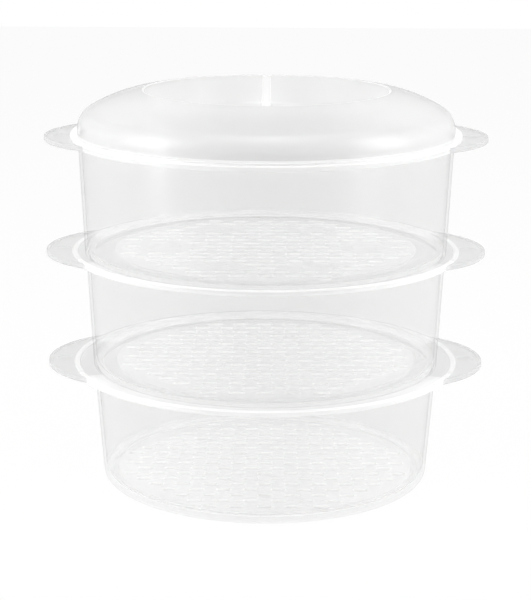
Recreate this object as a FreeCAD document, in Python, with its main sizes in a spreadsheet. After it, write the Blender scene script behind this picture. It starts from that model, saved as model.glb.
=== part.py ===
import FreeCAD, Part
import math
import os

import Sketcher

# A three-tier food steamer stack: three round basket bowls with perforated
# floors and a domed lid, each one thin plastic moulding. The bowls widen from
# the lowest to the highest so that they nest for storage, while their rims,
# ears and seats are alike. Millimetres, +Z up, +X through the right-hand ears.
# The origin is the centre of the face that the stack stands on.

doc = FreeCAD.newDocument("steamer")
V = FreeCAD.Vector


# ---- sizes

DIMENSIONS = [
    # alias, value, meaning
    ("bowl_height", 76.4, "base plane to the top of the rim lip"),
    ("wall", 1.8, "side wall of a bowl, and its foot ring"),
    ("floor_level", 5.0, "base plane to the top of the floor"),
    ("floor_thick", 2.0, "floor plate"),
    ("base_round", 6.5, "outer corner of the lowest bowl's base"),
    ("rim_radius", 116.1, "outside of the highest bowl's wall at its rim"),
    ("top_taper", 3.6, "how much smaller that wall is at its base"),
    ("middle_inset", 3.9, "middle bowl's rim inside the highest bowl's"),
    ("middle_taper", 4.0, "its wall at the base inside its wall at the rim"),
    ("bottom_inset", 7.7, "lowest bowl's rim inside the highest bowl's"),
    ("bottom_taper", 5.8, "its wall at the base inside its wall at the rim"),
    ("spigot_depth", 3.4, "part of a base that sinks into the bowl below"),
    ("spigot_gap", 0.5, "play round that part, on each side"),
    # rims
    ("flange_overhang", 4.5, "flange beyond the highest bowl's wall"),
    ("flange_thick", 1.6, "rim flange plate"),
    ("lip_width", 3.2, "raised lip along the flange's edge"),
    ("lip_height", 1.8, "lip above the flange plate"),
    # ears
    ("ear_length", 16.4, "tip of an ear beyond the flange"),
    ("ear_curve", 62.0, "radius of an ear's outline"),
    ("ear_overlap", 16.6, "root of an ear inside the flange's edge"),
    ("ear_drop", 0.2, "lip's top down to an ear's edge bead"),
    ("ear_blend", 12.0, "hollow corner between ear and flange"),
    ("bead_width", 2.0, "edge bead round an ear"),
    ("bead_height", 0.7, "edge bead above an ear's plate"),
    ("bead_gap", 1.0, "flange's edge to the sunk plate of an ear"),
    ("thumb_offset", 6.0, "flange's edge to the middle of a thumb dimple"),
    ("thumb_radius", 5.2, "thumb dimple"),
    ("thumb_depth", 0.8, "thumb dimple"),
    # perforated floors
    ("slot_length", 12.6, "steam slot along X"),
    ("slot_width", 4.8, "steam slot along Y"),
    ("slot_step", 22.0, "from slot to slot along a row"),
    ("row_step", 13.4, "from row to row"),
    ("field_margin", 0.3, "lowest bowl's foot ring to the circle that holds the slots"),
    ("egg_circle", 63.0, "axis to the centre of an egg cup"),
    ("egg_radius", 10.0, "egg cup"),
    ("egg_depth", 1.0, "egg cup below the floor's top"),
    ("egg_margin", 1.2, "solid floor round an egg cup"),
    ("egg_count", 6, "egg cups in the highest bowl"),
    # lid
    ("lid_wall", 1.8, "lid shell"),
    ("lid_height", 27.8, "crown above the rim that the lid lies on"),
    ("lid_upright", 4.3, "rim to the start of the shoulder"),
    ("shoulder_radius", 14.0, "shoulder between upright wall and crown"),
    ("crown_radius", 85.0, "crown between shoulder and recess"),
    ("lid_flange_thick", 1.7, "flange that lies on the rim lip"),
    ("key_depth", 1.3, "lid's wall below that flange, inside the rim lip"),
    ("key_gap", 1.1, "play between that wall and the lip"),
    ("recess_radius", 75.6, "mouth of the hand recess"),
    ("recess_draft", 9.6, "mouth of the recess wider than its bottom"),
    ("recess_depth", 18.0, "hand recess"),
    ("grip_width", 5.4, "hollow bar across the recess"),
    ("grip_drop", 1.0, "mouth of the recess down to the bar's top"),
    ("grip_round", 1.6, "long top edges of the bar"),
    ("grip_slit", 1.6, "hollow inside the bar, open below"),
    ("cut_margin", 1.0, "how far a cutting shape stands out of what it cuts"),
]

sheet = doc.addObject("Spreadsheet::Sheet", "sizes")
for row, (alias, value, meaning) in enumerate(DIMENSIONS, start=1):
    sheet.set(f"A{row}", meaning)
    sheet.set(f"B{row}", str(value))
    sheet.setAlias(f"B{row}", alias)
doc.recompute()

ALIASES = {alias for alias, _, _ in DIMENSIONS}


def size(alias):
    return float(sheet.get(alias))


def cells(expression):
    """Writes an expression's aliases as cells of the sheet."""
    return " ".join(f"sizes.{word}" if word in ALIASES else word for word in expression.split())


# Heights and radii that several pieces share, as expressions.
SEAT = "( bowl_height - lip_height )"
UNDER = f"( {SEAT} - flange_thick )"
FLANGE = "( rim_radius + flange_overhang )"
EAR_TOP = "( bowl_height - ear_drop )"
EAR_PLATE = f"( {EAR_TOP} - bead_height )"
EAR_CENTRE = f"( {FLANGE} + ear_length - ear_curve )"
LID_RADIUS = f"( {FLANGE} - lip_width - key_gap )"
PIT_RADIUS = "( recess_radius - recess_draft )"
PIT_LEVEL = "( lid_height - recess_depth )"
TIER = f"( {SEAT} - spigot_depth )"

# Each bowl's wall: how far its rim is inside the highest bowl's, and its taper.
BOTTOM = ("bottom_inset", "bottom_taper")
MIDDLE = ("middle_inset", "middle_taper")
TOP = ("0", "top_taper")


def wall_at(bowl, level):
    """The outside of a bowl's wall at a level above its base plane."""
    inset, taper = bowl
    return f"( rim_radius - {inset} - {taper} * ( bowl_height - {level} ) / bowl_height )"


# ---- helpers for sketches and features
#
# In a sketch's constraints, point 1 of an edge is its start, 2 its end and 3 its
# centre. Edge -1 is the horizontal axis, whose start is the origin, and -2 the
# vertical axis.

def datum(body, role):
    return next(f for f in body.Origin.OriginFeatures if f.Role == role)


def new_sketch(body, name, role, height=None):
    """A sketch on an origin plane, or at a height above it."""
    sketch = body.newObject("Sketcher::SketchObject", name)
    sketch.AttachmentSupport = (datum(body, role), "")
    sketch.MapMode = "FlatFace"
    if height:
        sketch.setExpression("AttachmentOffset.Base.z", cells(height))
    return sketch


def bind(sketch, kind, *parts):
    """A dimension that starts at what is drawn and then follows its expression."""
    *geometry, expression = parts
    if kind == "Radius":
        drawn = sketch.Geometry[geometry[0]].Radius
    else:
        point = sketch.getPoint(*geometry[-2:])
        drawn = point.x if kind == "DistanceX" else point.y
    index = sketch.addConstraint(Sketcher.Constraint(kind, *geometry, drawn))
    sketch.setExpression(f"Constraints[{index}]", cells(expression))


def join(sketch, kind, *geometry):
    sketch.addConstraint(Sketcher.Constraint(kind, *geometry))


def chain(sketch, *edges):
    """Joins the end of each edge to the start of the next."""
    for first, second in zip(edges, edges[1:]):
        join(sketch, "Coincident", first, 2, second, 1)


def pin(sketch, edge, point, across, up):
    """Places a point by two expressions, where 0 puts it on that axis."""
    if across == "0":
        join(sketch, "PointOnObject", edge, point, -2)
    else:
        bind(sketch, "DistanceX", -1, 1, edge, point, across)
    if up == "0":
        join(sketch, "PointOnObject", edge, point, -1)
    else:
        bind(sketch, "DistanceY", -1, 1, edge, point, up)


def polygon(sketch, corners):
    """A closed outline of straight lines, drawn as a round and then pinned."""
    count, reach = len(corners), size("rim_radius") / 2
    turns = [2 * math.pi * k / count for k in range(count)]
    rough = [V(reach - reach * math.cos(a), reach + reach * math.sin(a), 0) for a in turns]
    for k in range(count):
        sketch.addGeometry(Part.LineSegment(rough[k], rough[(k + 1) % count]), False)
    chain(sketch, *range(count), 0)
    for k, (across, up) in enumerate(corners):
        pin(sketch, k, 1, across, up)


def disc(sketch, place, radius):
    """A circle centred on the sketch's X axis."""
    start = size("rim_radius")
    index = sketch.addGeometry(Part.Circle(V(start, 0, 0), V(0, 0, 1), start), False)
    pin(sketch, index, 3, place, "0")
    bind(sketch, "Radius", index, radius)


def finish(body, feature):
    body.Tip = feature
    doc.recompute()
    return feature


def turned(body, kind, name, corners):
    """A Revolution or Groove of a polygon, all the way round Z."""
    sketch = new_sketch(body, f"{name}_section", "XZ_Plane")
    polygon(sketch, corners)
    feature = body.newObject(f"PartDesign::{kind}", name)
    feature.Profile = sketch
    feature.ReferenceAxis = (sketch, ["V_Axis"])
    feature.Angle = 360
    return finish(body, feature)


def raised(body, kind, name, sketch, length):
    """A Pad upwards from a sketch, or a Pocket downwards."""
    feature = body.newObject(f"PartDesign::{kind}", name)
    feature.Profile = sketch
    feature.setExpression("Length", cells(length))
    return finish(body, feature)


def rounded(body, name, wanted, radius):
    """A fillet on the edges of the last feature that pass a test."""
    last = body.Tip
    chosen = [f"Edge{k}" for k, edge in enumerate(last.Shape.Edges, start=1) if wanted(edge)]
    feature = body.newObject("PartDesign::Fillet", name)
    feature.Base = (last, chosen)
    feature.setExpression("Radius", cells(radius))
    return finish(body, feature)


def around(body, name, features, count):
    """The same features at even turns round Z."""
    pattern = body.newObject("PartDesign::PolarPattern", name)
    pattern.Originals = features
    pattern.Axis = (datum(body, "Z_Axis"), [""])
    pattern.Angle = 360
    pattern.setExpression("Occurrences", cells(count))
    return finish(body, pattern)


def close(a, b):
    return abs(a - b) < 1e-4


def is_circle(edge, height, radius):
    """Whether an edge is a whole circle round Z, of that height and radius."""
    if not isinstance(edge.Curve, Part.Circle) or len(edge.Vertexes) != 1:
        return False
    return close(edge.Curve.Center.z, height) and close(edge.Curve.Radius, radius)


def is_upright(edge, radius):
    """Whether an edge is a straight line along Z at that radius."""
    ends = [v.Point for v in edge.Vertexes]
    return (len(ends) == 2 and not close(ends[0].z, ends[1].z)
            and all(close(math.hypot(end.x, end.y), radius) for end in ends))


def is_along_y(edge, half, height):
    """Whether an edge runs along Y at that height, half left or right of the middle."""
    ends = [v.Point for v in edge.Vertexes]
    return (len(ends) == 2 and close(ends[0].x, ends[1].x)
            and all(close(abs(end.x), half) and close(end.z, height) for end in ends))


# ---- bowls

def ear_outline(sketch, radius):
    """An arc of an ear's outline, drawn from below to above the X axis."""
    flange = size("rim_radius") + size("flange_overhang")
    centre = flange + size("ear_length") - size("ear_curve")
    return V(centre, 0, 0), Part.Circle(V(centre, 0, 0), V(0, 0, 1), radius)


def draw_ear(sketch):
    """An ear in plan: a wide arc, closed by a chord inside the flange."""
    radius = size("ear_curve")
    centre, circle = ear_outline(sketch, radius)
    root = centre.x + radius - size("ear_length") - size("ear_overlap")
    half = math.sqrt(radius ** 2 - (root - centre.x) ** 2)
    turn = math.atan2(half, root - centre.x)
    arc = sketch.addGeometry(Part.ArcOfCircle(circle, -turn, turn), False)
    chord = sketch.addGeometry(Part.LineSegment(V(root, half, 0), V(root, -half, 0)), False)
    chain(sketch, arc, chord, arc)
    join(sketch, "Vertical", chord)
    pin(sketch, arc, 3, EAR_CENTRE, "0")
    bind(sketch, "Radius", arc, "ear_curve")
    bind(sketch, "DistanceX", -1, 1, chord, 1, f"{FLANGE} - ear_overlap")


def draw_plate(sketch):
    """The sunk plate of an ear, between its edge bead and the flange's edge."""
    outer = size("ear_curve") - size("bead_width")
    inner = size("rim_radius") + size("flange_overhang") + size("bead_gap")
    centre, circle = ear_outline(sketch, outer)
    meet = (inner ** 2 - outer ** 2 + centre.x ** 2) / (2 * centre.x)
    half = math.sqrt(inner ** 2 - meet ** 2)
    far, near = math.atan2(half, meet - centre.x), math.atan2(half, meet)
    rim = Part.Circle(V(0, 0, 0), V(0, 0, 1), inner)
    bead = sketch.addGeometry(Part.ArcOfCircle(circle, -far, far), False)
    edge = sketch.addGeometry(Part.ArcOfCircle(rim, -near, near), False)
    join(sketch, "Coincident", bead, 2, edge, 2)
    join(sketch, "Coincident", bead, 1, edge, 1)
    pin(sketch, bead, 3, EAR_CENTRE, "0")
    pin(sketch, edge, 3, "0", "0")
    bind(sketch, "Radius", bead, "ear_curve - bead_width")
    bind(sketch, "Radius", edge, f"{FLANGE} + bead_gap")


def make_ears(body, name):
    plan = new_sketch(body, f"{name}_ear_plan", "XY_Plane", UNDER)
    draw_ear(plan)
    ear = raised(body, "Pad", f"{name}_ear", plan, f"{EAR_TOP} - {UNDER}")
    around(body, f"{name}_ears", [ear], "2")
    flange = size("rim_radius") + size("flange_overhang")
    rounded(body, f"{name}_ear_blend", lambda edge: is_upright(edge, flange), "ear_blend")
    plate = new_sketch(body, f"{name}_plate_plan", "XY_Plane", EAR_TOP)
    draw_plate(plate)
    sunk = raised(body, "Pocket", f"{name}_plate", plate, "bead_height")
    around(body, f"{name}_plates", [sunk], "2")
    thumb = new_sketch(body, f"{name}_thumb_plan", "XY_Plane", EAR_PLATE)
    disc(thumb, f"{FLANGE} + thumb_offset", "thumb_radius")
    dimple = raised(body, "Pocket", f"{name}_thumb", thumb, "thumb_depth")
    around(body, f"{name}_thumbs", [dimple], "2")


def slot_tool(name, cups):
    """Slots in staggered rows that fill a circle, but for the floor round the cups."""
    length, width = size("slot_length"), size("slot_width")
    step, row_step = size("slot_step"), size("row_step")
    base = size("rim_radius") - size("bottom_inset") - size("bottom_taper")
    foot = base - size("base_round") - size("wall")
    field = foot - size("field_margin")
    keep_off = size("egg_radius") + size("egg_margin")
    low = size("floor_level") - size("floor_thick") - size("cut_margin")
    tall = size("floor_thick") + 2 * size("cut_margin")
    rows, columns = int(field / row_step), int(field / step) + 1
    slots = []
    for row in range(-rows, rows + 1):
        y = row * row_step
        for column in range(-columns, columns + 1):
            x = (column + row % 2 / 2) * step
            far = math.hypot(abs(x) + length / 2, abs(y) + width / 2)
            gaps = [math.hypot(max(abs(x - cup.x) - length / 2, 0), max(abs(y - cup.y) - width / 2, 0))
                    for cup in cups]
            if far < field and all(gap > keep_off for gap in gaps):
                slots.append(Part.makeBox(length, width, tall, V(x - length / 2, y - width / 2, low)))
    tool = doc.addObject("Part::Feature", name)
    tool.Shape = Part.makeCompound(slots)
    return tool


def make_bowl(name, bowl, below, level, egg_cups):
    """A basket bowl. below is the bowl that it sits in, or None, and level its base plane."""
    body = doc.addObject("PartDesign::Body", f"{name}_body")
    base = wall_at(bowl, "0")
    if below:
        spigot = f"( {wall_at(below, SEAT)} - wall - spigot_gap )"
        shoulder = (wall_at(bowl, "spigot_depth"), "spigot_depth")
        base_corners = [(spigot, "0"), (spigot, "spigot_depth"), shoulder]
        foot = f"{spigot} - wall"
    else:
        base_corners = [(base, "0")]
        foot = f"{base} - base_round - wall"
    turned(body, "Revolution", f"{name}_form", [
        ("0", "0"),
        *base_corners,
        (wall_at(bowl, UNDER), UNDER),
        (FLANGE, UNDER),
        (FLANGE, "bowl_height"),
        ("0", "bowl_height"),
    ])
    if not below:
        corner = size("rim_radius") - size("bottom_inset") - size("bottom_taper")
        rounded(body, f"{name}_base_round", lambda edge: is_circle(edge, 0, corner), "base_round")
    make_ears(body, name)
    turned(body, "Groove", f"{name}_inside", [
        ("0", "floor_level"),
        (f"{wall_at(bowl, 'floor_level')} - wall", "floor_level"),
        (f"{wall_at(bowl, SEAT)} - wall", SEAT),
        (f"{FLANGE} - lip_width", SEAT),
        (f"{FLANGE} - lip_width", "bowl_height + cut_margin"),
        ("0", "bowl_height + cut_margin"),
    ])
    turned(body, "Groove", f"{name}_underside", [
        ("0", "0 - cut_margin"),
        (foot, "0 - cut_margin"),
        (foot, "floor_level - floor_thick"),
        ("0", "floor_level - floor_thick"),
    ])
    cups = []
    if egg_cups:
        cup_plan = new_sketch(body, f"{name}_cup_plan", "XY_Plane", "floor_level")
        disc(cup_plan, "egg_circle", "egg_radius")
        cup = raised(body, "Pocket", f"{name}_cup", cup_plan, "egg_depth")
        around(body, f"{name}_cups", [cup], "egg_count")
        turns = [2 * math.pi * k / size("egg_count") for k in range(int(size("egg_count")))]
        cups = [V(math.cos(a), math.sin(a), 0) * size("egg_circle") for a in turns]
    piece = doc.addObject("Part::Cut", name)
    piece.Base = body
    piece.Tool = slot_tool(f"{name}_slots", cups)
    piece.setExpression("Placement.Base.z", cells(level))
    return piece


# ---- lid

def draw_dome(sketch):
    """The lid's shell in section: upright wall, shoulder and crown arcs, recess."""
    wall = size("rim_radius") + size("flange_overhang") - size("lip_width") - size("key_gap")
    upright, top, thick = size("lid_upright"), size("lid_height"), size("lid_wall")
    shoulder, crown = size("shoulder_radius"), size("crown_radius")
    mouth = V(size("recess_radius"), top, 0)
    pit = V(size("recess_radius") - size("recess_draft"), top - size("recess_depth"), 0)
    corner = V(wall - shoulder, upright, 0)
    # the crown's centre is as far from the mouth as the crown's radius, and on
    # the line through the joint of the two arcs and the shoulder's centre
    reach, inner = (mouth - corner).Length, crown - shoulder
    aim = math.atan2(mouth.y - corner.y, mouth.x - corner.x)
    turn = aim - math.acos((crown ** 2 - inner ** 2 - reach ** 2) / (2 * inner * reach))
    centre = corner - V(math.cos(turn), math.sin(turn), 0) * inner
    mouth_turn = math.atan2(mouth.y - centre.y, mouth.x - centre.x)

    def line(a, b):
        return sketch.addGeometry(Part.LineSegment(a, b), False)

    def arc(middle, radius, a, b):
        circle = Part.Circle(middle, V(0, 0, 1), radius)
        return sketch.addGeometry(Part.ArcOfCircle(circle, a, b), False)

    foot, under = -size("key_depth"), V(0, -thick, 0)
    side = line(V(wall, foot, 0), V(wall, upright, 0))
    bend = arc(corner, shoulder, 0, turn)
    cap = arc(centre, crown, turn, mouth_turn)
    slope = line(mouth, pit)
    bottom = line(pit, V(0, pit.y, 0))
    axis = line(V(0, pit.y, 0), V(0, pit.y, 0) + under)
    under_bottom = line(V(0, pit.y, 0) + under, pit + V(thick, 0, 0) + under)
    under_slope = line(pit + V(thick, 0, 0) + under, mouth + V(thick, 0, 0) + under)
    under_cap = arc(centre, crown - thick, turn, mouth_turn)
    under_bend = arc(corner, shoulder - thick, 0, turn)
    inside = line(V(wall - thick, upright, 0), V(wall - thick, foot, 0))
    end = line(V(wall - thick, foot, 0), V(wall, foot, 0))
    chain(sketch, cap, slope, bottom, axis, under_bottom, under_slope)
    chain(sketch, inside, end, side)
    join(sketch, "Coincident", under_slope, 2, under_cap, 2)
    join(sketch, "Tangent", side, 2, bend, 1)
    join(sketch, "Tangent", bend, 2, cap, 1)
    join(sketch, "Tangent", inside, 1, under_bend, 1)
    join(sketch, "Tangent", under_bend, 2, under_cap, 1)
    join(sketch, "Coincident", bend, 3, under_bend, 3)
    join(sketch, "Parallel", slope, under_slope)
    join(sketch, "Horizontal", under_bottom)
    pin(sketch, side, 1, LID_RADIUS, "0 - key_depth")
    pin(sketch, side, 2, LID_RADIUS, "lid_upright")
    pin(sketch, inside, 2, f"{LID_RADIUS} - lid_wall", "0 - key_depth")
    bind(sketch, "DistanceX", -1, 1, inside, 1, f"{LID_RADIUS} - lid_wall")
    pin(sketch, slope, 1, "recess_radius", "lid_height")
    pin(sketch, slope, 2, PIT_RADIUS, PIT_LEVEL)
    pin(sketch, bottom, 2, "0", PIT_LEVEL)
    pin(sketch, axis, 2, "0", f"{PIT_LEVEL} - lid_wall")
    bind(sketch, "Radius", bend, "shoulder_radius")
    bind(sketch, "Radius", cap, "crown_radius")
    bind(sketch, "Radius", under_cap, "crown_radius - lid_wall")
    spacing = sketch.addConstraint(Sketcher.Constraint("Distance", slope, 1, under_slope, thick))
    sketch.setExpression(f"Constraints[{spacing}]", cells("lid_wall"))


def draw_bar(sketch, width, half_length):
    """A bar in plan that runs from front to back across the lid's middle."""
    left, right = f"0 - {width} / 2", f"{width} / 2"
    front, back = f"0 - {half_length}", half_length
    polygon(sketch, [(right, back), (left, back), (left, front), (right, front)])


def make_lid(level):
    body = doc.addObject("PartDesign::Body", "lid")
    section = new_sketch(body, "dome_section", "XZ_Plane")
    draw_dome(section)
    dome = body.newObject("PartDesign::Revolution", "dome")
    dome.Profile = section
    dome.ReferenceAxis = (section, ["V_Axis"])
    dome.Angle = 360
    finish(body, dome)

    # flange that lies on the rim lip
    turned(body, "Revolution", "rim", [
        (f"{LID_RADIUS} - lid_wall / 2", "0"),
        (FLANGE, "0"),
        (FLANGE, "lid_flange_thick"),
        (f"{LID_RADIUS} - lid_wall / 2", "lid_flange_thick"),
    ])

    # hollow bar across the recess, its ends buried in the recess's wall
    plan = new_sketch(body, "grip_plan", "XY_Plane", f"{PIT_LEVEL} - lid_wall / 2")
    draw_bar(plan, "grip_width", "recess_radius")
    raised(body, "Pad", "grip", plan, "recess_depth - grip_drop + lid_wall / 2")
    half, bar_top = size("grip_width") / 2, size("lid_height") - size("grip_drop")
    rounded(body, "grip_round", lambda edge: is_along_y(edge, half, bar_top), "grip_round")
    slit = new_sketch(body, "slit_plan", "XY_Plane", "lid_height - grip_drop - lid_wall")
    draw_bar(slit, "grip_slit", PIT_RADIUS)
    raised(body, "Pocket", "slit", slit, "recess_depth")
    body.setExpression("Placement.Base.z", cells(level))
    return body


# ---- the stack

pieces = [
    make_bowl("bottom_bowl", BOTTOM, None, "0", False),
    make_bowl("middle_bowl", MIDDLE, BOTTOM, TIER, False),
    make_bowl("top_bowl", TOP, MIDDLE, f"2 * {TIER}", True),
    make_lid(f"2 * {TIER} + bowl_height"),
]
doc.recompute()

for item in doc.Objects:
    if "Invalid" in item.State or "Error" in item.State:
        raise RuntimeError(f"{item.Label} did not build: {item.State}")

os.makedirs("parts", exist_ok=True)
for piece in pieces:
    shape = piece.Shape
    if shape.isNull() or not shape.isValid() or len(shape.Solids) != 1:
        raise RuntimeError(f"{piece.Label} is not one valid solid")
    shape.exportStep(f"parts/{piece.Label}.step")
    box = shape.BoundBox
    print(f"{piece.Label}: {shape.Volume / 1000:.1f} cm3, z {box.ZMin:.2f} to {box.ZMax:.2f}")
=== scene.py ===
import bpy
import bmesh
import math
from mathutils import Matrix, Vector


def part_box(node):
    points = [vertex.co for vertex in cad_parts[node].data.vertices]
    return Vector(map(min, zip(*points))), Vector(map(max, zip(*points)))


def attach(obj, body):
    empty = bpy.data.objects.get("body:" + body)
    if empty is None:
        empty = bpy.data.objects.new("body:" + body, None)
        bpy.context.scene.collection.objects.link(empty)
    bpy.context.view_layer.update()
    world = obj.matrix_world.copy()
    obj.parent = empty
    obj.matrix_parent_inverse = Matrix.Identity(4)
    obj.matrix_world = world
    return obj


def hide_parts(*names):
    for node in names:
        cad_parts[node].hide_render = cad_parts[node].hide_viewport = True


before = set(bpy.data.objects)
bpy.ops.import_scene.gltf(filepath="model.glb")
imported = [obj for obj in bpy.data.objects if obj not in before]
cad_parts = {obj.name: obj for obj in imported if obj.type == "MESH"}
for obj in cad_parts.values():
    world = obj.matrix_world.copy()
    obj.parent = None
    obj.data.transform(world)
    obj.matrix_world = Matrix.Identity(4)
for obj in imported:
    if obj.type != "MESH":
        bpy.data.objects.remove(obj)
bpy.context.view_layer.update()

scene = bpy.context.scene
up = Vector((0, 0, 1))
# pieces are drawn in millimetres above their own base plane, then brought to metres and to their level
mm = 0.001
white = (1, 1, 1, 1)
# how the meshes are closed and shaded
meshing = {
    "turnMerge": 0.001,
    "pieceMerge": 0.002,
    "levelSlack": 0.01,     # how far off its level a point may lie and still count as on it
    "sharpAngle": 30,
    "cornerSteps": ((1, 3), (3, 5), (math.inf, 10)),    # below each radius, the steps of a rounding
}


def newVert(bm, r, z):
    return bm.verts.new((r, 0, z))


# a run of straight edges in the XZ plane, which gives its last vertex
def drawLine(bm, start, *places):
    for place in places:
        end = newVert(bm, *place)
        bm.edges.new((start, end))
        start = end
    return start


# an arc swept from a vertex, which gives its last vertex
def drawArc(bm, start, centre, angle, steps):
    made = bmesh.ops.spin(bm, geom=[start], cent=centre, axis=(0, -1, 0), angle=angle, steps=steps)
    return next(item for item in made["geom_last"] if isinstance(item, bmesh.types.BMVert))


def roundCorner(bm, vert, radius, segments):
    legs = [edge.other_vert(vert).co - vert.co for edge in vert.link_edges]
    turned = math.pi - legs[0].angle(legs[1])
    bmesh.ops.bevel(bm, geom=[vert], offset=radius * math.tan(turned / 2), offset_type="OFFSET",
                    affect="VERTICES", segments=segments, profile=0.5, material=-1)


# an outline through (r, z, radius) corners, each rounded to its radius
def profile(corners):
    bm = bmesh.new()
    verts = [newVert(bm, r, z) for r, z, _ in corners]
    for first, second in zip(verts, verts[1:]):
        bm.edges.new((first, second))
    for vert, (_, _, radius) in zip(verts, corners):
        if radius:
            steps = next(steps for most, steps in meshing["cornerSteps"] if radius < most)
            roundCorner(bm, vert, radius, steps)
    return bm


# turns an outline all the way round the upright axis
def turn(bm, steps):
    bmesh.ops.spin(bm, geom=bm.verts[:] + bm.edges[:], cent=(0, 0, 0), axis=up,
                   angle=2 * math.pi, steps=steps, use_merge=True)
    bmesh.ops.remove_doubles(bm, verts=bm.verts, dist=meshing["turnMerge"])


def toMesh(bm, name):
    mesh = bpy.data.meshes.new(name)
    bm.to_mesh(mesh)
    bm.free()
    return mesh


def toObject(bm, name):
    made = bpy.data.objects.new(name, toMesh(bm, name))
    scene.collection.objects.link(made)
    return made


# joins or cuts target with tool, which is used up
def combine(target, tool, operation):
    step = target.modifiers.new(operation, "BOOLEAN")
    step.operation = operation
    step.solver = "EXACT"
    step.object = tool
    solved = target.evaluated_get(bpy.context.evaluated_depsgraph_get())
    mesh = bpy.data.meshes.new_from_object(solved)
    target.modifiers.clear()
    target.data = mesh
    bpy.data.objects.remove(tool)


# adds a copy of a mesh at each place, moved but not turned
def stamp(bm, mesh, places):
    for place in places:
        copy = mesh.copy()
        copy.transform(Matrix.Translation(place))
        bm.from_mesh(copy)
        bpy.data.meshes.remove(copy)


def isLevel(edge, level):
    return all(abs(vert.co.z - level) < meshing["levelSlack"] for vert in edge.verts)


# fills the flat face between the open rings at a level
def fillPlate(bm, level):
    edges = [edge for edge in bm.edges if edge.is_boundary and isLevel(edge, level)]
    bmesh.ops.triangle_fill(bm, edges=edges, use_beauty=True, normal=up)


# closes a piece, gives each face the lit or shaded copy of the plastic that paints its light and shade,
# and puts the piece at its level in metres
def finishPiece(piece, node, level, zones, zoneOf):
    bm = bmesh.new()
    bm.from_mesh(piece.data)
    bmesh.ops.remove_doubles(bm, verts=bm.verts, dist=meshing["pieceMerge"])
    bmesh.ops.dissolve_degenerate(bm, edges=bm.edges, dist=meshing["pieceMerge"])
    bmesh.ops.recalc_face_normals(bm, faces=bm.faces)
    bm.normal_update()
    for face in bm.faces:
        face.smooth = True
        face.material_index = zones.index(zoneOf(face))
    sharp = math.radians(meshing["sharpAngle"])
    for edge in bm.edges:
        edge.smooth = len(edge.link_faces) == 2 and edge.calc_face_angle() < sharp
    bm.transform(Matrix.Translation((0, 0, level)) @ Matrix.Scale(mm, 4))
    openEdges = sum(not edge.is_manifold for edge in bm.edges)
    triangles = sum(len(face.verts) - 2 for face in bm.faces)
    # this sets every face to the first material, so the faces come back after it
    piece.data.materials.clear()
    for zone in zones:
        piece.data.materials.append(finishes[zone])
    bm.to_mesh(piece.data)
    bm.free()
    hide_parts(node)
    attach(piece, node)
    print(f"{piece.name}: {triangles} triangles, {openEdges} open edges")


# an output socket that sums and products can be written with
class Socket:
    def __init__(self, shader, output):
        self.shader, self.output = shader, output

    def calc(self, operation, first, second):
        return self.shader.node("ShaderNodeMath", {"operation": operation}, {0: first, 1: second})

    def __add__(self, other):
        return self.calc("ADD", self, other)

    def __sub__(self, other):
        return self.calc("SUBTRACT", self, other)

    def __rsub__(self, other):
        return self.calc("SUBTRACT", other, self)

    def __mul__(self, other):
        return self.calc("MULTIPLY", self, other)

    def __pow__(self, other):
        return self.calc("POWER", self, other)

    __radd__ = __add__
    __rmul__ = __mul__


# the node tree of a material or a world
class Shader:
    def __init__(self, owner):
        owner.use_nodes = True
        self.owner, self.tree = owner, owner.node_tree
        self.tree.nodes.clear()

    def node(self, kind, settings=None, values=None, output=0):
        made = self.tree.nodes.new(kind)
        for name, value in (settings or {}).items():
            setattr(made, name, value)
        for key, value in (values or {}).items():
            if isinstance(value, Socket):
                self.tree.links.new(value.output, made.inputs[key])
            else:
                made.inputs[key].default_value = value
        return Socket(self, made.outputs[output]) if len(made.outputs) else None

    def noise(self, scale, detail):
        where = self.node("ShaderNodeTexCoord", output="Object")
        return self.node("ShaderNodeTexNoise", None, {"Vector": where, "Scale": scale, "Detail": detail})

    def ray(self, kind):
        return self.node("ShaderNodeLightPath", output=kind)


# what all the lit and shaded copies of the milky plastic share; a pattern has a scale and a detail
plasticLook = {
    "clearTone": (0.98, 0.98, 0.98),
    "milkyTone": (0.94, 0.94, 0.94),
    "flow": (14, 3),        # slow clouds left by the mould's flow
    "hazeSpread": 0.03,
    "ripples": (26, 1),     # soft waves in the moulded skin
    "rippleHeight": 0.0003,
    "grain": (500, 2),      # fine tooth of the mould
    "grainHeight": 0.000004,
    "smudges": (60, 4),
    "smudgeDepth": 0.08,
    "lightHeld": 0.2,       # share of the haze that also stops the lamps' light
    "paintedEdgeShadeTone": (0.71, 0.71, 0.71, 1),      # painted shade: the grey a skin lets through edge-on, standing in for the shade refraction gives its edges
    "edgeSteepness": 12,
    "ior": 1.49,
}
# tone and opacity of one skin, its roughness and gloss, and how much painted shade darkens it edge-on; a
# lower tone paints shade on a zone, a higher one paints light or a highlight
plastics = {
    "wallShadedPlastic": {"tone": 0.67, "opacity": 0.165, "roughness": 0.18, "gloss": 1.0, "edge": 0.6},
    "plateLitPlastic": {"tone": 0.88, "opacity": 0.38, "roughness": 0.34, "gloss": 0.5, "edge": 0},
    "underPlastic": {"tone": 0.88, "opacity": 0.08, "roughness": 0.2, "gloss": 0.5, "edge": 0},
    "slotHighlightPlastic": {"tone": 1.0, "opacity": 0.6, "roughness": 0.34, "gloss": 0.5, "edge": 0},
    "rimLitPlastic": {"tone": 0.98, "opacity": 0.44, "roughness": 0.34, "gloss": 0.6, "edge": 0},
    "highlightPlastic": {"tone": 1.0, "opacity": 0.56, "roughness": 0.34, "gloss": 0.8, "edge": 0},
    "earShadedPlastic": {"tone": 0.68, "opacity": 0.5, "roughness": 0.34, "gloss": 0.3, "edge": 0.4},
    "lidShadedPlastic": {"tone": 0.78, "opacity": 0.46, "roughness": 0.36, "gloss": 0.7, "edge": 0.6},
    "recessLitPlastic": {"tone": 0.84, "opacity": 0.46, "roughness": 0.36, "gloss": 0.5, "edge": 0.3},
}


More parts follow.
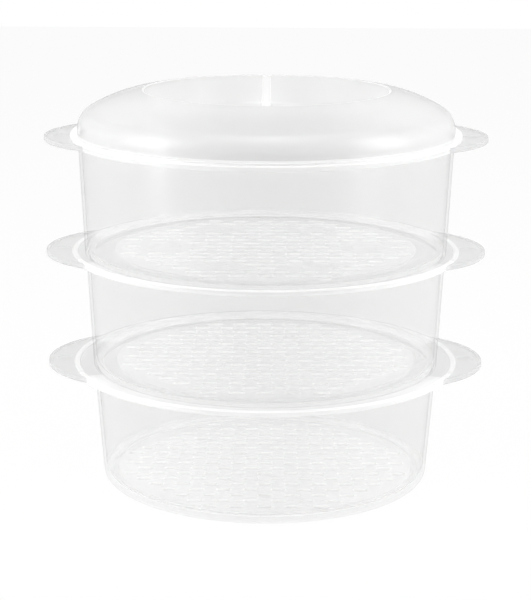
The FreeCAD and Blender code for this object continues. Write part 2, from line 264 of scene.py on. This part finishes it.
def makePlastic(name, tone, opacity, roughness, gloss, edge):
    look = plasticLook
    shader = Shader(bpy.data.materials.new(name))
    flow = shader.noise(*look["flow"])
    smudges = shader.noise(*look["smudges"])
    ripples = shader.noise(*look["ripples"])
    grain = shader.noise(*look["grain"])
    # the tone scales the plastic's colours down for painted shade and up for painted light
    clear, milky = [(*(part * tone for part in look[kind]), 1) for kind in ("clearTone", "milkyTone")]
    # a Mix node has sockets for each kind of value, and 6 and 7 are its colours
    colour = shader.node("ShaderNodeMix", {"data_type": "RGBA"}, {0: flow, 6: clear, 7: milky}, 2)
    haze = opacity + opacity * look["hazeSpread"] * (flow - 0.5) * 2
    waves = shader.node("ShaderNodeBump", None, {
        "Height": ripples, "Strength": 1.0, "Distance": look["rippleHeight"]})
    skin = shader.node("ShaderNodeBump", None, {
        "Height": grain, "Strength": 1.0, "Distance": look["grainHeight"], "Normal": waves})
    surface = shader.node("ShaderNodeBsdfPrincipled", None, {
        "Base Color": colour,
        "Roughness": roughness + (smudges - 0.5) * look["smudgeDepth"],
        "IOR": look["ior"],
        "Specular IOR Level": gloss,
        "Alpha": haze * (1 - shader.ray("Is Shadow Ray") * (1 - look["lightHeld"])),
        "Normal": skin,
    })
    # seen edge-on, a grey see-through layer paints the shade that refraction gives a skin's edges
    if edge:
        facing = shader.node("ShaderNodeLayerWeight", None, {"Blend": 0.5}, "Facing")
        paintedEdgeShade = shader.node("ShaderNodeBsdfTransparent", None, {"Color": look["paintedEdgeShadeTone"]})
        surface = shader.node("ShaderNodeMixShader", None, {
            0: facing ** look["edgeSteepness"] * edge, 1: surface, 2: paintedEdgeShade})
    shader.node("ShaderNodeOutputMaterial", None, {"Surface": surface})
    return shader.owner


finishes = {name: makePlastic(name, **look) for name, look in plastics.items()}
print("plastics ready")


bowlShape = {
    "height": 76.4,
    "wall": 1.8,
    "floorLevel": 5.0,
    "floorThick": 2.0,
    "flangeThick": 1.6,
    "lipWidth": 3.2,
    "lipHeight": 1.8,
    "lipLean": 0.3,
    "spigotDepth": 3.4,
    "spigotGap": 0.5,
    "joinRadius": 94.1,     # where the wall's outline meets the slotted plate
    "turnSteps": 192,
}
# wall radii at the base plane and at the rim
bowlWalls = {
    "bottom_bowl": (102.6, 108.4),
    "middle_bowl": (108.2, 112.2),
    "top_bowl": (112.5, 116.1),
}
bowlCorners = {
    "base": 6.5,
    "foot": 0.5,
    "step": 0.4,
    "shoulder": 0.6,
    "underFlange": 1.6,
    "flangeLow": 0.5,
    "lipOut": 1.1,
    "lipIn": 1.0,
    "channel": 0.5,
    "mouth": 0.7,
    "floor": 4.5,
}


def wallAt(name, z):
    base, rim = bowlWalls[name]
    return base + (rim - base) * z / bowlShape["height"]


# half of a bowl in section, from its floor's underside round to its floor's top;
# below is the bowl that it stands in, if there is one
def bowlOutline(name, below, flange):
    s, c = bowlShape, bowlCorners
    seat = s["height"] - s["lipHeight"]
    under = seat - s["flangeThick"]
    plate = s["floorLevel"] - s["floorThick"]
    lip = flange - s["lipWidth"]
    if below:
        spigot = wallAt(below, seat) - s["wall"] - s["spigotGap"]
        foot, footRound = spigot - s["wall"], c["step"]
        shoulder = wallAt(name, s["spigotDepth"])
        base = [(spigot, 0, c["foot"]), (spigot, s["spigotDepth"], c["step"]),
                (shoulder, s["spigotDepth"], c["shoulder"])]
    else:
        foot, footRound = wallAt(name, 0) - c["base"] - s["wall"], 0
        base = [(wallAt(name, 0), 0, c["base"])]
    return profile([
        (s["joinRadius"], plate, 0),
        (foot, plate, footRound),
        (foot, 0, c["foot"]),
        *base,
        (wallAt(name, under), under, c["underFlange"]),
        (flange, under, c["flangeLow"]),
        (flange, s["height"], c["lipOut"]),
        (lip, s["height"], c["lipIn"]),
        (lip - s["lipLean"], seat, c["channel"]),
        (wallAt(name, seat) - s["wall"], seat, c["mouth"]),
        (wallAt(name, s["floorLevel"]) - s["wall"], s["floorLevel"], c["floor"]),
        (s["joinRadius"], s["floorLevel"], 0),
    ])


slotShape = {
    "length": 8.2,
    "width": 2.2,
    "edgeRound": 0.8,
    "step": 16.87,
    "rowStep": 10.2,
    "fieldInset": 0.4,
    "endSlack": (0.75, 0.15),       # a slot's rounded end reaches this much less than its box
    "segments": 12,
}
# the egg hollows in the top bowl's floor
cupShape = {
    "count": 6,
    "circle": 64.0,
    "radius": 10.4,
    "depth": 2.2,
    "slope": 2.4,
    "rimReach": 1.5,
    "rimRound": 1.2,
    "pitRound": 2.0,
    "margin": 1.8,
    "underGrowth": 0.6,     # how much wider a hollow is on the floor's underside
    "turnSteps": 40,
}


# the outline of one slot, a circle drawn apart into a long round
def slotLoop(bm, grow, z):
    s = slotShape
    ring = bmesh.ops.create_circle(bm, segments=s["segments"], radius=s["width"] / 2 + grow)["verts"]
    halfStep = Matrix.Rotation(math.pi / s["segments"], 4, "Z")
    bmesh.ops.transform(bm, matrix=Matrix.Translation((0, 0, z)) @ halfStep, verts=ring)
    reach = s["length"] / 2 - s["width"] / 2
    for vert in ring:
        vert.co.x += reach if vert.co.x > 0 else -reach
    return [edge for edge in bm.edges if edge.verts[0] in ring and edge.verts[1] in ring]


# the rounded wall of one slot through the floor plate
def slotWall():
    s, b = slotShape, bowlShape
    top, low = b["floorLevel"], b["floorLevel"] - b["floorThick"]
    bm = bmesh.new()
    lip = s["edgeRound"]
    loops = [slotLoop(bm, grow, z) for grow, z in ((lip, top), (0, top - lip), (0, low + lip), (lip, low))]
    for first, second in zip(loops, loops[1:]):
        bmesh.ops.bridge_loops(bm, edges=first + second)
    return toMesh(bm, "slotWall")


# one skin of an egg hollow, from the plate down to its flat bottom
def cupSkin(level, radius):
    c = cupShape
    bm = profile([
        (radius + c["rimReach"], level, 0),
        (radius, level, c["rimRound"]),
        (radius - c["slope"], level - c["depth"], c["pitRound"]),
        (0, level - c["depth"], 0),
    ])
    turn(bm, c["turnSteps"])
    return toMesh(bm, "cupSkin")


def cupPlaces():
    c = cupShape
    turns = [2 * math.pi * k / c["count"] for k in range(c["count"])]
    return [Vector((math.cos(a), math.sin(a), 0)) * c["circle"] for a in turns]


# from the box of half size about place to a point
def boxGap(place, half, point):
    return math.hypot(max(abs(place.x - point.x) - half.x, 0), max(abs(place.y - point.y) - half.y, 0))


# staggered rows that fill the floor, but for the floor round the cups
def slotPlaces(cups):
    s = slotShape
    half = Vector((s["length"] / 2 + s["edgeRound"], s["width"] / 2 + s["edgeRound"]))
    field = bowlShape["joinRadius"] - s["fieldInset"]
    keepOff = cupShape["radius"] + cupShape["margin"]
    corner = half - Vector(s["endSlack"])
    rows, columns = int(field / s["rowStep"]), int(field / s["step"]) + 1
    for row in range(-rows, rows + 1):
        for column in range(-columns, columns + 1):
            place = Vector(((column + row % 2 / 2) * s["step"], row * s["rowStep"], 0))
            reach = math.hypot(abs(place.x) + corner.x, abs(place.y) + corner.y)
            if reach < field and all(boxGap(place, half, cup) > keepOff for cup in cups):
                yield place


earShape = {
    "length": 16.4,         # beyond the flange
    "curve": 62.0,
    "blend": 12.0,
    "earShadeReach": 40.0,     # how far to each side of the ear the flange takes the ear's painted shade
    "drop": 0.2,
    "raise": 0.02,          # keeps the ear's underside clear of the flange's own face
    "bead": 2.0,
    "beadLean": 0.3,
    "beadHeight": 0.7,
    "inside": 2.6,
    "edgeRound": 0.6,
    "beadRound": 0.3,
    "thumbOffset": 6.0,
    "thumbRadius": 5.2,
    "thumbMargin": 0.8,
    "thumbDepth": 0.8,
    "thumbSlope": 0.7,
    "thumbRound": 0.5,
    "blendSteps": 12,
    "curveSteps": 48,
    "flangeSteps": 40,
}


# the signed turn about centre that takes first to second
def angleFrom(centre, first, second):
    a, b = first - centre, second - centre
    return math.atan2(a.x * b.y - a.y * b.x, a.x * b.x + a.y * b.y)


# closes the open end of a swept section with a face and gives the edge that closes it
def closeSection(bm, section):
    verts = [item for item in section if isinstance(item, bmesh.types.BMVert)]
    closing = bm.edges.new(sorted(verts, key=lambda v: v.co.xy.length)[:2])
    edges = [item for item in section if isinstance(item, bmesh.types.BMEdge)]
    bmesh.ops.contextual_create(bm, geom=edges + [closing])
    return closing


# an ear with its edge bead and thumb dimple, on the right or the left
def makeEar(side, flange, under):
    e = earShape
    top = bowlShape["height"] - e["drop"]
    plate = top - e["beadHeight"]
    middle = Vector((flange + e["length"] - e["curve"], 0, 0))
    far, near = flange + e["blend"], e["curve"] + e["blend"]
    across = (far ** 2 - near ** 2 + middle.x ** 2) / (2 * middle.x)
    hollow = Vector((across, -math.sqrt(far ** 2 - across ** 2), 0))
    mirrored = Vector((hollow.x, -hollow.y, 0))
    root = hollow * (flange / far)
    tangent = middle + (hollow - middle) * (e["curve"] / near)
    blendTurn = angleFrom(hollow, root, tangent)
    curveTurn = -2 * angleFrom(middle, middle + Vector((1, 0, 0)), tangent)
    rootTurn = math.atan2(root.y, root.x)
    # the edge in section, where the ear leaves the flange, is swept along the outline
    inside = flange - e["inside"]
    bm = profile([
        (inside, under, 0),
        (flange, under, e["edgeRound"]),
        (flange, top, e["edgeRound"]),
        (flange - e["bead"], top, e["beadRound"]),
        (flange - e["bead"] - e["beadLean"], plate, 0),
        (inside, plate, 0),
    ])
    bmesh.ops.rotate(bm, matrix=Matrix.Rotation(rootTurn, 3, "Z"), verts=bm.verts[:])
    swept = bm.verts[:] + bm.edges[:]
    closeSection(bm, swept)
    sweeps = [(hollow, blendTurn, e["blendSteps"]), (middle, curveTurn, e["curveSteps"]),
              (mirrored, blendTurn, e["blendSteps"])]
    for centre, angle, steps in sweeps:
        made = bmesh.ops.spin(bm, geom=swept, cent=centre, axis=up, angle=angle, steps=steps)
        swept = made["geom_last"]
    inner = closeSection(bm, swept)
    bmesh.ops.spin(bm, geom=[inner, *inner.verts], cent=(0, 0, 0), axis=up, angle=2 * rootTurn,
                   steps=e["flangeSteps"])
    bmesh.ops.remove_doubles(bm, verts=bm.verts, dist=meshing["turnMerge"])
    dimple = profile([
        (e["thumbRadius"] + e["thumbMargin"], plate, 0),
        (e["thumbRadius"], plate, e["thumbRound"]),
        (e["thumbRadius"] - e["thumbSlope"], plate - e["thumbDepth"], e["thumbRound"]),
        (0, plate - e["thumbDepth"], 0),
    ])
    turn(dimple, cupShape["turnSteps"])
    stamp(bm, toMesh(dimple, "thumbDimple"), [Vector((flange + e["thumbOffset"], 0, 0))])
    for level in (plate, under):
        fillPlate(bm, level)
    bmesh.ops.recalc_face_normals(bm, faces=bm.faces)
    if side < 0:
        bmesh.ops.rotate(bm, matrix=Matrix.Rotation(math.pi, 3, "Z"), verts=bm.verts[:])
    return toObject(bm, "ear")


# where one lit or shaded copy of the bowl's plastic gives way to the next
bowlZones = {
    "plateAbove": 0.5,      # how far above the floor's level its plate still counts
    "levelFace": 0.9,       # the least upright share of a level face's normal
    "curveFace": 0.5,       # and of the curve from the floor to the wall
    "rimBelow": 0.2,
    "earBeyond": 0.1,
    "lipInside": 1.0,
}


def makeBowl(node, below):
    s, zone = bowlShape, bowlZones
    low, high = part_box(node)
    flange = high.y / mm
    under = s["height"] - s["lipHeight"] - s["flangeThick"]
    plate = s["floorLevel"] - s["floorThick"]
    bm = bowlOutline(node, below, flange)
    turn(bm, s["turnSteps"])
    cups = cupPlaces() if node == "top_bowl" else []
    slots = list(slotPlaces(cups))
    stamp(bm, slotWall(), slots)
    if cups:
        stamp(bm, cupSkin(s["floorLevel"], cupShape["radius"]), cups)
        stamp(bm, cupSkin(plate, cupShape["radius"] + cupShape["underGrowth"]), cups)
    for level in (s["floorLevel"], plate):
        fillPlate(bm, level)
    bmesh.ops.recalc_face_normals(bm, faces=bm.faces)
    print(f"{node}: {len(slots)} slots, {len(cups)} egg hollows")
    piece = toObject(bm, f"{node}_shell")
    for side in (1, -1):
        combine(piece, makeEar(side, flange, under + earShape["raise"]), "UNION")
    keepOff = cupShape["radius"] + cupShape["margin"]
    lipLow = s["height"] - s["lipHeight"] / 2
    lipInner = flange - s["lipWidth"] - zone["lipInside"]

    # gives each face the lit or shaded copy of the plastic that paints the light and shade on it
    def zoneOf(face):
        place = face.calc_center_median()
        r = place.xy.length
        aboveFloor = place.z - s["floorLevel"]
        if r < s["joinRadius"] and aboveFloor < zone["plateAbove"]:
            inCup = any((place - cup).xy.length < keepOff for cup in cups)
            # the slots' walls get a painted highlight, so they read as bright dashes
            if abs(face.normal.z) < zone["levelFace"] and not inCup:
                return "slotHighlightPlastic"
            return "plateLitPlastic" if face.normal.z > 0 else "underPlastic"
        if place.z < under - zone["rimBelow"] or r < wallAt(node, place.z) - s["wall"]:
            inCurve = 0 < aboveFloor < bowlCorners["floor"] and face.normal.z > zone["curveFace"]
            return "plateLitPlastic" if inCurve else "wallShadedPlastic"
        if r > flange + zone["earBeyond"]:
            return "earShadedPlastic"
        inLip = place.z > lipLow and r > lipInner
        inMouth = r < wallAt(node, s["height"]) - s["wall"] + bowlCorners["mouth"]
        # beside the ears the flange takes the ear's painted shade and its lip the rim's painted light;
        # elsewhere the lip and the bowl's mouth get the painted highlight
        if abs(place.y) < earShape["earShadeReach"]:
            return "rimLitPlastic" if inLip else "earShadedPlastic"
        return "highlightPlastic" if inLip or inMouth else "rimLitPlastic"

    zones = ("wallShadedPlastic", "plateLitPlastic", "underPlastic", "slotHighlightPlastic", "rimLitPlastic", "highlightPlastic",
             "earShadedPlastic")
    finishPiece(piece, node, low.z, zones, zoneOf)


for node, below in (("bottom_bowl", None), ("middle_bowl", "bottom_bowl"), ("top_bowl", "middle_bowl")):
    makeBowl(node, below)


lidShape = {
    "wall": 1.8,
    "height": 27.8,
    "radius": 116.3,
    "upright": 4.3,
    "shoulder": 14.0,
    "crown": 85.0,
    "flangeThick": 1.7,
    "keyDepth": 1.3,
    "recessRadius": 75.6,
    "recessFloor": 66.0,
    "recessDepth": 18.0,
    "mouthRound": 1.5,
    "pitRound": 2.5,
    "wallRound": 1.0,
    "flangeRound": 0.6,
    "keyRound": 0.4,
    "gripWidth": 5.4,
    "gripDrop": 1.0,
    "gripRound": 1.6,
    "gripSteps": 6,
    "gripSlit": 1.6,
    "slitRound": 0.6,
    "slitInset": (2.0, 1.0),        # how much shorter the slit is than the recess, at its top and its foot
    "roundSteps": 5,
    "shoulderSteps": 14,
    "crownSteps": 10,
    "turnSteps": 192,
}


# the shoulder and crown arcs of the lid, from the top of its upright wall
def domeArcs(bm, start, shoulderCentre, crownCentre, shoulderTurn, crownTurn):
    vert = drawArc(bm, start, shoulderCentre, shoulderTurn, lidShape["shoulderSteps"])
    return drawArc(bm, vert, crownCentre, crownTurn, lidShape["crownSteps"])


# half of the lid in section
def lidOutline(flange):
    s = lidShape
    mouth = Vector((s["recessRadius"], 0, s["height"]))
    pit = Vector((s["recessFloor"], 0, s["height"] - s["recessDepth"]))
    corner = Vector((s["radius"] - s["shoulder"], 0, s["upright"]))
    reach, inner = (mouth - corner).length, s["crown"] - s["shoulder"]
    aim = math.atan2(mouth.z - corner.z, mouth.x - corner.x)
    shoulderTurn = aim - math.acos((s["crown"] ** 2 - inner ** 2 - reach ** 2) / (2 * inner * reach))
    centre = corner - Vector((math.cos(shoulderTurn), 0, math.sin(shoulderTurn))) * inner
    crownTurn = math.atan2(mouth.z - centre.z, mouth.x - centre.x) - shoulderTurn
    slope = (mouth - pit).normalized()
    beside = Vector((slope.z, 0, -slope.x)) * s["wall"]
    # where the underside of the recess's wall meets the underside of the crown
    gap = mouth + beside - centre
    back = gap.dot(slope)
    along = -back + math.sqrt(back ** 2 - gap.length_squared + (s["crown"] - s["wall"]) ** 2)
    innerMouth = mouth + beside + slope * along
    innerTurn = math.atan2(innerMouth.z - centre.z, innerMouth.x - centre.x) - shoulderTurn
    under = pit.z - s["wall"]
    innerPit = pit + beside + slope * ((under - (pit + beside).z) / slope.z)

    bm = bmesh.new()
    mouthVert = drawLine(bm, newVert(bm, 0, pit.z), (pit.x, pit.z), (mouth.x, mouth.z))
    wallTop = newVert(bm, s["radius"], s["upright"])
    end = domeArcs(bm, wallTop, corner, centre, shoulderTurn, crownTurn)
    bmesh.ops.weld_verts(bm, targetmap={end: mouthVert})
    rim = drawLine(bm, wallTop, (s["radius"], s["flangeThick"]), (flange, s["flangeThick"]), (flange, 0),
                   (s["radius"], 0), (s["radius"], -s["keyDepth"]),
                   (s["radius"] - s["wall"], -s["keyDepth"]), (s["radius"] - s["wall"], s["upright"]))
    end = domeArcs(bm, rim, corner, centre, shoulderTurn, innerTurn)
    drawLine(bm, end, (innerPit.x, innerPit.z), (0, under))
    roundings = [
        (mouth, s["mouthRound"]),
        (pit, s["pitRound"]),
        (innerPit, s["pitRound"] + s["wall"]),
        (Vector((s["radius"], 0, s["flangeThick"])), s["wallRound"]),
        (Vector((flange, 0, s["flangeThick"])), s["flangeRound"]),
        (Vector((flange, 0, 0)), s["keyRound"]),
        (Vector((s["radius"], 0, -s["keyDepth"])), s["keyRound"]),
    ]
    for place, radius in roundings:
        roundCorner(bm, min(bm.verts, key=lambda v: (v.co - place).length), radius, s["roundSteps"])
    return bm


# a bar across the recess, longer at its top than at its foot
def gripBar(width, topHalf, lowHalf, low, high, rounding):
    bm = bmesh.new()
    bmesh.ops.create_cube(bm, size=1)
    for vert in bm.verts:
        half = topHalf if vert.co.z > 0 else lowHalf
        vert.co = (vert.co.x * width, 2 * vert.co.y * half, high if vert.co.z > 0 else low)
    edges = [edge for edge in bm.edges if isLevel(edge, high)
             and abs(edge.verts[0].co.x - edge.verts[1].co.x) < meshing["levelSlack"]]
    bmesh.ops.bevel(bm, geom=edges, offset=rounding, offset_type="OFFSET", affect="EDGES",
                    segments=lidShape["gripSteps"], profile=0.5, material=-1)
    return toObject(bm, "gripBar")


# where one lit or shaded copy of the lid's plastic gives way to the next
lidZones = {
    "rimBeyond": 0.2,
    "rimLip": 1.0,
    "mouthBelow": 0.6,
    "barFace": 0.3,         # the least upright share of a normal on the bar's top
    "recessBelow": 0.1,
}


def makeLid():
    s, zone = lidShape, lidZones
    low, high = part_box("lid")
    flange = high.y / mm
    bm = lidOutline(flange)
    turn(bm, s["turnSteps"])
    bmesh.ops.recalc_face_normals(bm, faces=bm.faces)
    piece = toObject(bm, "lid_dome")
    pit, barTop = s["height"] - s["recessDepth"], s["height"] - s["gripDrop"]
    halfWall = s["wall"] / 2
    bar = gripBar(s["gripWidth"], s["recessRadius"], s["recessFloor"] + halfWall, pit - halfWall, barTop,
                  s["gripRound"])
    combine(piece, bar, "UNION")
    # the bar is hollow from below
    topInset, lowInset = s["slitInset"]
    slit = gripBar(s["gripSlit"], s["recessRadius"] - topInset, s["recessFloor"] - lowInset,
                   pit - 2 * s["wall"], barTop - s["wall"], s["slitRound"])
    combine(piece, slit, "DIFFERENCE")

    # gives each face the lit or shaded copy of the plastic that paints the light and shade on it
    def zoneOf(face):
        place = face.calc_center_median()
        r = place.xy.length
        if r > s["radius"] + zone["rimBeyond"]:
            return "highlightPlastic" if r > flange - zone["rimLip"] else "rimLitPlastic"
        inRecess = r < s["recessRadius"]
        mouthLow = s["height"] - zone["mouthBelow"]
        onMouth = place.z > mouthLow and abs(r - s["recessRadius"]) < s["mouthRound"]
        onBar = inRecess and abs(place.x) < s["gripWidth"] / 2 and face.normal.z > zone["barFace"]
        # the recess's mouth and the top of the grip bar get the painted highlight
        if onMouth or onBar and place.z > barTop - s["gripRound"]:
            return "highlightPlastic"
        return "recessLitPlastic" if inRecess and place.z > pit - zone["recessBelow"] else "lidShadedPlastic"

    zones = ("lidShadedPlastic", "recessLitPlastic", "rimLitPlastic", "highlightPlastic")
    finishPiece(piece, "lid", low.z + s["keyDepth"] * mm, zones, zoneOf)


makeLid()


roomLook = {
    "floorHalf": 3.0,
    "floorDrop": 0.0002,    # keeps the floor clear of the foot's own face
    "floorColour": (0.95, 0.95, 0.95, 1),
    "floorSeen": 0.95,      # how white the floor looks to the camera, the rest shows its shadow
    "floorMirrored": 0.3,
    "ambient": 0.23,
}
lamps = {
    "leftSoftbox": {"place": (-1.16, -0.35, 0.7), "aim": (0, 0, 0.13), "size": (0.6, 1.0), "power": 11.7},
    "rightSoftbox": {"place": (1.18, -0.25, 0.7), "aim": (0, 0, 0.13), "size": (0.4, 1.0), "power": 11.4},
    "topSoftbox": {"place": (0, -0.35, 1.5), "aim": (0, 0, 0.1), "size": (0.7, 0.6), "power": 4.8},
    "backSoftbox": {"place": (0, 1.2, 0.9), "aim": (0, 0, 0.15), "size": (1.3, 0.5), "power": 2},
    "frontSoftbox": {"place": (0, -1.5, 0.9), "aim": (0, 0, 0.12), "size": (1.2, 0.6), "power": 1.4},
}
cameraSetup = {
    "place": (0, -1.147, 0.3927),
    "pitch": 13.70,
    "roll": 0.27,
    "lens": 112.2,
    "sensor": 36,
    "nearest": 0.05,
}


def makeRoom():
    look = roomLook
    bm = bmesh.new()
    bmesh.ops.create_grid(bm, x_segments=2, y_segments=2, size=look["floorHalf"])
    bmesh.ops.translate(bm, verts=bm.verts[:], vec=(0, 0, -look["floorDrop"]))
    floor = toObject(bm, "studioFloor")
    shader = Shader(bpy.data.materials.new("studioFloor"))
    plain = shader.node("ShaderNodeBsdfDiffuse", None, {"Color": look["floorColour"]})
    glow = shader.node("ShaderNodeEmission", None, {"Color": white, "Strength": 1.0})
    seen = (shader.ray("Is Camera Ray") + shader.ray("Is Transmission Ray")) * look["floorSeen"]
    seen = seen + shader.ray("Is Glossy Ray") * look["floorMirrored"]
    surface = shader.node("ShaderNodeMixShader", None, {0: seen, 1: plain, 2: glow})
    shader.node("ShaderNodeOutputMaterial", None, {"Surface": surface})
    floor.data.materials.append(shader.owner)
    scene.world = bpy.data.worlds.new("studio")
    shader = Shader(scene.world)
    ambient = shader.node("ShaderNodeBackground", None, {"Color": white, "Strength": look["ambient"]})
    backdrop = shader.node("ShaderNodeBackground", None, {"Color": white, "Strength": 1.0})
    seen = shader.ray("Is Camera Ray") + shader.ray("Is Glossy Ray") + shader.ray("Is Transmission Ray")
    surface = shader.node("ShaderNodeMixShader", None, {0: seen, 1: ambient, 2: backdrop})
    shader.node("ShaderNodeOutputWorld", None, {"Surface": surface})


def makeLamp(name, place, aim, size, power):
    data = bpy.data.lights.new(name, "AREA")
    data.shape = "RECTANGLE"
    data.size, data.size_y = size
    data.energy = power
    lamp = bpy.data.objects.new(name, data)
    lamp.location = place
    lamp.rotation_euler = (Vector(aim) - Vector(place)).to_track_quat("-Z", "Y").to_euler()
    scene.collection.objects.link(lamp)


def makeCamera():
    c = cameraSetup
    data = bpy.data.cameras.new("camera")
    data.lens = c["lens"]
    data.sensor_width = c["sensor"]
    data.clip_start = c["nearest"]
    camera = bpy.data.objects.new("camera", data)
    camera.location = c["place"]
    tilt = Matrix.Rotation(math.radians(90 - c["pitch"]), 4, "X")
    camera.rotation_euler = (tilt @ Matrix.Rotation(math.radians(c["roll"]), 4, "Z")).to_euler()
    scene.collection.objects.link(camera)
    scene.camera = camera


makeRoom()
for name, lamp in lamps.items():
    makeLamp(name, **lamp)
makeCamera()
scene.view_settings.view_transform = "Standard"
scene.cycles.transparent_max_bounces = 48     # a ray through the stack crosses many thin skins
scene.cycles.use_denoising = True
print("room, lamps and camera ready")
